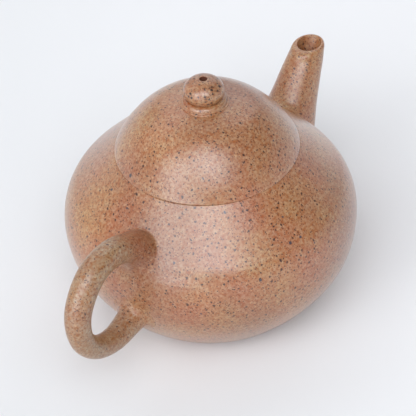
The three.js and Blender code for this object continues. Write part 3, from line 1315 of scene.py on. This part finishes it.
@dataclass(frozen=True)
class Lid:
    """The lid: dome, seat ring and flange, with the collar and the knob on top."""

    rim: Pair = PotBody.mouth
    crown: Pair = (13.5, 75.75)
    top: float = 77.55
    rim_slope: float = 67.0
    crown_slope: float = 16.0

    # The share of the crown's radius over which the top is drawn out flat
    crown_flat: float = 0.4
    wall: float = 2.8
    seat_bottom: float = 60.05
    seat_joint: float = 62.35
    seat_bore: float = 23.2
    flange_outer: float = 25.6
    flange_inner: float = 23.4
    flange_bottom: float = 53.5
    flange_ease: float = 0.5
    edge: float = 0.12
    steam_hole: float = 1.2

    # The collar's cushion, the thin step that it sits on, and how deep the collar is let into the dome
    collar: float = 7.1
    collar_rounding: float = 1.7
    collar_top: float = 79.1
    collar_foot: float = 0.65
    collar_step: float = 0.4
    collar_sunk: float = 1.2

    # How far the step's edge is tucked under the dome, and the crease between the step and the cushion
    collar_tuck: float = 0.03
    crease_gap: float = 0.02
    crease_rise: float = 0.2
    crease_steps: int = 5

    # The knob's neck is let into the collar this deep, and the ball starts this far above it
    knob_sunk: float = 0.1
    knob_rise: float = 0.25
    knob_neck: float = 5.4
    knob_radius: float = 6.4
    knob_half: float = 4.5
    knob_centre: float = 81.5

    # The steam hole's wiped edge, out and down, and how far past the bore the faces of its painted shade are
    # looked for
    hole_ease: Pair = (0.2, 0.25)
    shade_reach: float = 0.02

    def outline(self) -> Outline:
        """The outer line, from the rim to the middle of the top.

        Returns:
            The outline.
        """
        down_crown = 180 - self.crown_slope
        return Outline.of((
            Bend(self.rim, (180 - self.rim_slope, 5.0), (down_crown, 7.3), self.crown),
            Bend(self.crown, (down_crown, 6.0), (180, self.crown_flat * self.crown[0]), (0.0, self.top)),
        ))

    def dome(self) -> Shell:
        """The dished slab, pierced through its middle.

        Returns:
            The shell.
        """
        outline = self.outline()
        outer = between(outline.line, self.seat_joint, self.top)
        inner = outline.inside(self.wall)
        inner = between(inner, self.seat_joint, inner[-1, 1])
        outer, inner = (line[line[:, 0] > self.steam_hole] for line in (outer, inner))
        hole = ((self.steam_hole, self.top), (self.steam_hole, inner[-1, 1]))
        return Shell.turned(np.vstack((outer, hole, inner[::-1])))

    def seat_ring(self) -> Shell:
        """The flat ring that rests on the mouth, its outer edge wiped round.

        Returns:
            The shell.
        """
        outline = self.outline()
        outer = between(outline.line, self.seat_bottom + self.edge, self.seat_joint)
        rim = float(outline.radius_at(self.seat_bottom))
        return Shell.turned(np.vstack((
            ((self.seat_bore, self.seat_bottom),),
            eased((rim - self.edge, self.seat_bottom), (rim, self.seat_bottom), tuple(outer[0])),
            outer[1:],
            ((self.seat_bore, self.seat_joint),),
        )))

    def flange(self) -> Shell:
        """The upright ring that drops into the mouth.

        Returns:
            The shell.
        """
        low, ease = self.flange_bottom, self.flange_ease
        inner, outer = self.flange_inner, self.flange_outer
        return Shell.turned(np.vstack((
            eased((inner, low + ease), (inner, low), (inner + ease, low)),
            eased((outer - ease, low), (outer, low), (outer, low + ease)),
            ((outer, self.seat_bottom),),
            ((inner, self.seat_bottom),),
        )))

    def knob_collar(self) -> Shell:
        """The low collar: a rounded cushion of clay on a thin step with a rounded edge.

        Returns:
            The shell.
        """
        outline = self.outline().line[::-1]
        radius, foot, top = self.collar, self.collar + self.collar_foot, self.collar_top
        on_dome = float(np.interp(foot, outline[:, 0], outline[:, 1]))
        step = on_dome + self.collar_step
        cushion_start, cushion_end = top - self.collar_rounding, radius - self.collar_rounding
        crease_end = max(cushion_start, step + self.crease_rise)
        edge = foot - self.collar_step
        return Shell.turned(np.vstack((
            ((self.steam_hole, self.crown[1]),),
            ((radius, on_dome - self.collar_sunk),),
            ((foot, on_dome - self.collar_tuck),),
            eased((foot, on_dome + SHORT_STEP), (foot, step), (edge, step)),
            eased((edge - self.crease_gap, step), (radius, step), (radius, crease_end), self.crease_steps),
            eased((radius, cushion_start), (radius, top), (cushion_end, top), BROAD_EASE_STEPS)[1:],
            ((self.steam_hole, top),),
        )), SMALL_TURN_SEGMENTS)

    def knob(self) -> Shell:
        """The flattened ball, pierced down its middle.

        Returns:
            The shell.
        """
        hole, neck, low = self.steam_hole, self.knob_neck, self.collar_top - self.knob_sunk
        outwards, inwards = self.hole_ease
        start = math.asin((self.collar_top + self.knob_rise - self.knob_centre) / self.knob_half)
        end = math.acos((hole + outwards) / self.knob_radius)
        turn = np.linspace(start, end, BALL_STEPS)
        radius, height = self.knob_radius * np.cos(turn), self.knob_centre + self.knob_half * np.sin(turn)
        rim = (float(radius[-1]), float(height[-1]))
        return Shell.turned(np.vstack((
            ((hole, low),),
            ((neck, low),),
            ((neck, self.collar_top + SHORT_STEP),),
            np.column_stack((radius, height)),
            eased(rim, (hole, rim[1]), (hole, rim[1] - inwards)),
        )), SMALL_TURN_SEGMENTS)

    def build(self, bench: Workbench) -> None:
        """Makes the five pieces.

        Args:
            bench: Where they are made.
        """
        bench.made("lid_slab", self.dome(), Body.LID, Clay.LID, "lid_dome")
        bench.made("lid_seat", self.seat_ring(), Body.LID, Clay.LID, "lid_seat_ring")
        bench.made("lid_inner_flange", self.flange(), Body.LID, Clay.INSIDE, "lid_flange")
        bench.made("stepped_collar", self.knob_collar(), Body.LID, Clay.LID, "knob_collar")
        knob = bench.made("pierced_knob", self.knob(), Body.LID, Clay.KNOB, "knob")
        # The bore of the steam hole gets a darker finish: painted shade in the hole
        bench.paint_shade(knob, self.steam_hole + self.shade_reach, Clay.STAINED)


def way_at(azimuth: float, elevation: float) -> Vector:
    """The direction at an azimuth and an elevation, in degrees."""
    around, up = math.radians(azimuth), math.radians(elevation)
    return Vector((math.cos(up) * math.cos(around), math.cos(up) * math.sin(around), math.sin(up)))


@dataclass(frozen=True)
class Lamp:
    """A soft panel that faces the pot. Angles are degrees, sizes metres and power watts."""

    name: str
    azimuth: float
    height: float
    width: float
    tall: float
    power: float
    colour: str
    distance: float = 2.2

    def hung(self, target: Vector) -> None:
        """Hangs the panel so that it faces a target.

        Args:
            target: The point that it faces, in metres.
        """
        way = way_at(self.azimuth, self.height)
        data = bpy.data.lights.new(self.name, "AREA")
        data.shape = "RECTANGLE"
        data.size, data.size_y = self.width, self.tall
        data.energy = self.power
        data.color = linear(self.colour)[:3]
        panel = placed(self.name, data)
        panel.location = target + way * self.distance
        panel.rotation_euler = way.to_track_quat("Z", "Y").to_euler()


@dataclass(frozen=True)
class Studio:
    """A pale table, soft panels of light and the camera. Sizes are metres."""

    table_radius: float = 1.7
    sweep: float = 0.7
    flat_steps: int = 8
    sweep_steps: int = 16
    board_roughness: float = 0.5

    # The table's colour in the light it throws back, and as it is seen, from left to right over the fade:
    # the seen colour is darker on the left and lighter on the right, as painted shade and painted light
    # across the board
    table_colour: str = "#e2e2e4"
    shaded_left_colour: str = "#e8e7e5"
    lit_right_colour: str = "#f7f5f3"
    fade: float = 0.12
    fade_way: Triple = (0.64, -0.41, 0.0)

    # The room's soft light, stronger from the wall behind the pot, and its strength where it is seen
    around: str = "#eef2f8"
    back_wall: Triple = (0.65, 0.75, 0.15)
    front_strength: float = 0.16
    back_strength: float = 0.4
    seen_strength: float = 0.15

    # The panels, hung round a point in the pot this high in millimetres
    aim_height: float = 40.0
    lamps: tuple[Lamp, ...] = (
        Lamp("key", 187.0, 40.0, 1.5, 1.2, 12.5, "#f0f5fc"),
        Lamp("key_side", 161.0, 33.0, 1.1, 1.0, 9.0, "#f0f5fc"),
        Lamp("window_left", 204.0, 60.0, 1.0, 1.1, 8.0, "#eef3fb"),
        Lamp("window_middle", 223.0, 46.0, 1.0, 1.1, 8.2, "#eef3fb"),
        Lamp("window_right", 237.0, 46.0, 1.1, 1.1, 5.0, "#eef3fb"),
        Lamp("wall_behind", 25.0, 42.0, 2.4, 1.8, 13.0, "#f0f5fc"),
        Lamp("wall_left", 95.0, 45.0, 1.6, 1.4, 5.0, "#f0f5fc"),
        Lamp("low_fill", 180.0, 10.0, 1.8, 0.7, 14.5, "#f0f5fc"),
    )

    # The camera, in millimetres about the pot's axis and in degrees, with its clip in metres
    camera_place: Triple = (-356.6, -240.5, 407.0)
    camera_azimuth: float = -145.89
    camera_elevation: float = 40.96
    camera_roll: float = -3.37
    lens: float = 151.9
    sensor: float = 36.0
    clip: Pair = (0.01, 20.0)

    def table(self) -> None:
        """A round table that sweeps up far behind the pot."""
        turn = np.linspace(0, math.pi / 2, self.sweep_steps)
        flat = np.linspace((0, 0), (self.table_radius, 0), self.flat_steps)
        rise = self.sweep * np.column_stack((np.sin(turn), 1 - np.cos(turn))) + (self.table_radius, 0)
        rows = turned_rows(np.vstack((flat, rise[1:])), SMALL_TURN_SEGMENTS)
        rings, sides = rows.shape[:2]
        index = np.arange(rings * sides).reshape(rings, sides)
        faces = []
        for low, high in zip(index[:-1], index[1:]):
            faces += [tuple(map(int, face)) for face in zip(low, np.roll(low, -1), np.roll(high, -1), high)]
        mesh = bpy.data.meshes.new("table")
        mesh.from_pydata(rows.reshape(-1, 3).tolist(), [], faces)
        mesh.shade_smooth()
        mesh.materials.append(self.table_material())
        placed("table", mesh)

    def table_material(self) -> bpy.types.Material:
        """Matt painted board: no sheen, and seen a little lighter than in the light that it throws back.

        Returns:
            The material.
        """
        material = bpy.data.materials.new("painted_board")
        tree = bare_tree(material)
        place = add_node(tree, "ShaderNodeTexCoord").outputs["Object"]
        across = add_node(
            tree, "ShaderNodeVectorMath", {0: place, 1: Vector(self.fade_way).normalized()},
            operation="DOT_PRODUCT",
        )
        fade = add_node(
            tree, "ShaderNodeMapRange", {"Value": across.outputs["Value"], 1: -self.fade, 2: self.fade}
        )
        # The seen colour grows lighter from left to right: painted shade on the left and painted light on
        # the right
        seen = add_node(
            tree, "ShaderNodeMix",
            {0: fade.outputs[0], 6: linear(self.shaded_left_colour), 7: linear(self.lit_right_colour)},
            data_type="RGBA",
        )
        colour = add_node(
            tree, "ShaderNodeMix",
            {0: self.seen_ray(tree), 6: linear(self.table_colour), 7: seen.outputs[2]},
            data_type="RGBA",
        )
        board = add_node(
            tree, "ShaderNodeBsdfDiffuse", {"Color": colour.outputs[2], "Roughness": self.board_roughness}
        )
        add_node(tree, "ShaderNodeOutputMaterial", {"Surface": board.outputs[0]})
        return material

    @staticmethod
    def seen_ray(tree: bpy.types.NodeTree) -> Any:
        """Tells a ray that shows the background, straight or in a gloss, from one that lights the pot.

        Args:
            tree: The node tree that asks.

        Returns:
            The output that is 1 for such a ray and 0 for others.
        """
        path = add_node(tree, "ShaderNodeLightPath")
        ray = path.outputs["Is Camera Ray"]
        for other in ("Is Glossy Ray", "Is Transmission Ray"):
            ray = add_node(
                tree, "ShaderNodeMath", {0: ray, 1: path.outputs[other]}, operation="MAXIMUM"
            ).outputs[0]
        return ray

    def light(self, axis: float) -> None:
        """The room's soft light all round, and the panels.

        Args:
            axis: X of the pot's axis, in metres.
        """
        world = bpy.data.worlds.new("soft_room")
        tree = bare_tree(world)
        way = add_node(tree, "ShaderNodeTexCoord").outputs["Generated"]
        facing = add_node(
            tree, "ShaderNodeVectorMath", {0: way, 1: Vector(self.back_wall).normalized()},
            operation="DOT_PRODUCT",
        )
        turned = facing.outputs["Value"]
        light = add_node(
            tree, "ShaderNodeMapRange",
            {"Value": turned, 1: -1.0, 2: 1.0, 3: self.front_strength, 4: self.back_strength},
        )
        strength = add_node(
            tree, "ShaderNodeMix", {0: self.seen_ray(tree), 2: light.outputs[0], 3: self.seen_strength}
        )
        room = add_node(
            tree, "ShaderNodeBackground", {"Color": linear(self.around), "Strength": strength.outputs[0]}
        )
        add_node(tree, "ShaderNodeOutputWorld", {"Surface": room.outputs[0]})
        bpy.context.scene.world = world
        for lamp in self.lamps:
            lamp.hung(Vector((axis, 0, self.aim_height * MM)))

    def camera(self, axis: float) -> None:
        """The camera where the photograph was taken.

        Args:
            axis: X of the pot's axis, in metres.
        """
        forward, roll = -way_at(self.camera_azimuth, self.camera_elevation), math.radians(self.camera_roll)
        level = forward.cross(Vector((0, 0, 1))).normalized()
        over = level.cross(forward) * math.cos(roll) - level * math.sin(roll)
        right = forward.cross(over)
        data = bpy.data.cameras.new("camera")
        data.lens, data.sensor_width = self.lens, self.sensor
        data.clip_start, data.clip_end = self.clip
        camera = placed("camera", data)
        turn = Matrix((right, over, -forward)).transposed().to_4x4()
        place = Vector(self.camera_place) * MM + Vector((axis, 0, 0))
        camera.matrix_world = Matrix.Translation(place) @ turn
        bpy.context.scene.camera = camera

    def build(self, axis: float) -> None:
        """Sets up the table, the light, the camera and plain colours.

        Args:
            axis: X of the pot's axis, in metres.
        """
        bpy.context.scene.view_settings.view_transform = "Standard"
        self.table()
        self.light(axis)
        self.camera(axis)


def main() -> None:
    """Builds the teapot's pieces in order, then the studio."""
    logging.basicConfig(level=logging.INFO, format="%(message)s")
    bench = Workbench.set_up()
    pot = PotBody()
    skin = Skin(pot.outline())
    pot.build(bench)
    Strainer().build(bench)
    Spout().build(bench, skin)
    Handle().build(bench, skin)
    Lid().build(bench)
    Studio().build(bench.axis)


if __name__ == "__main__":
    main()
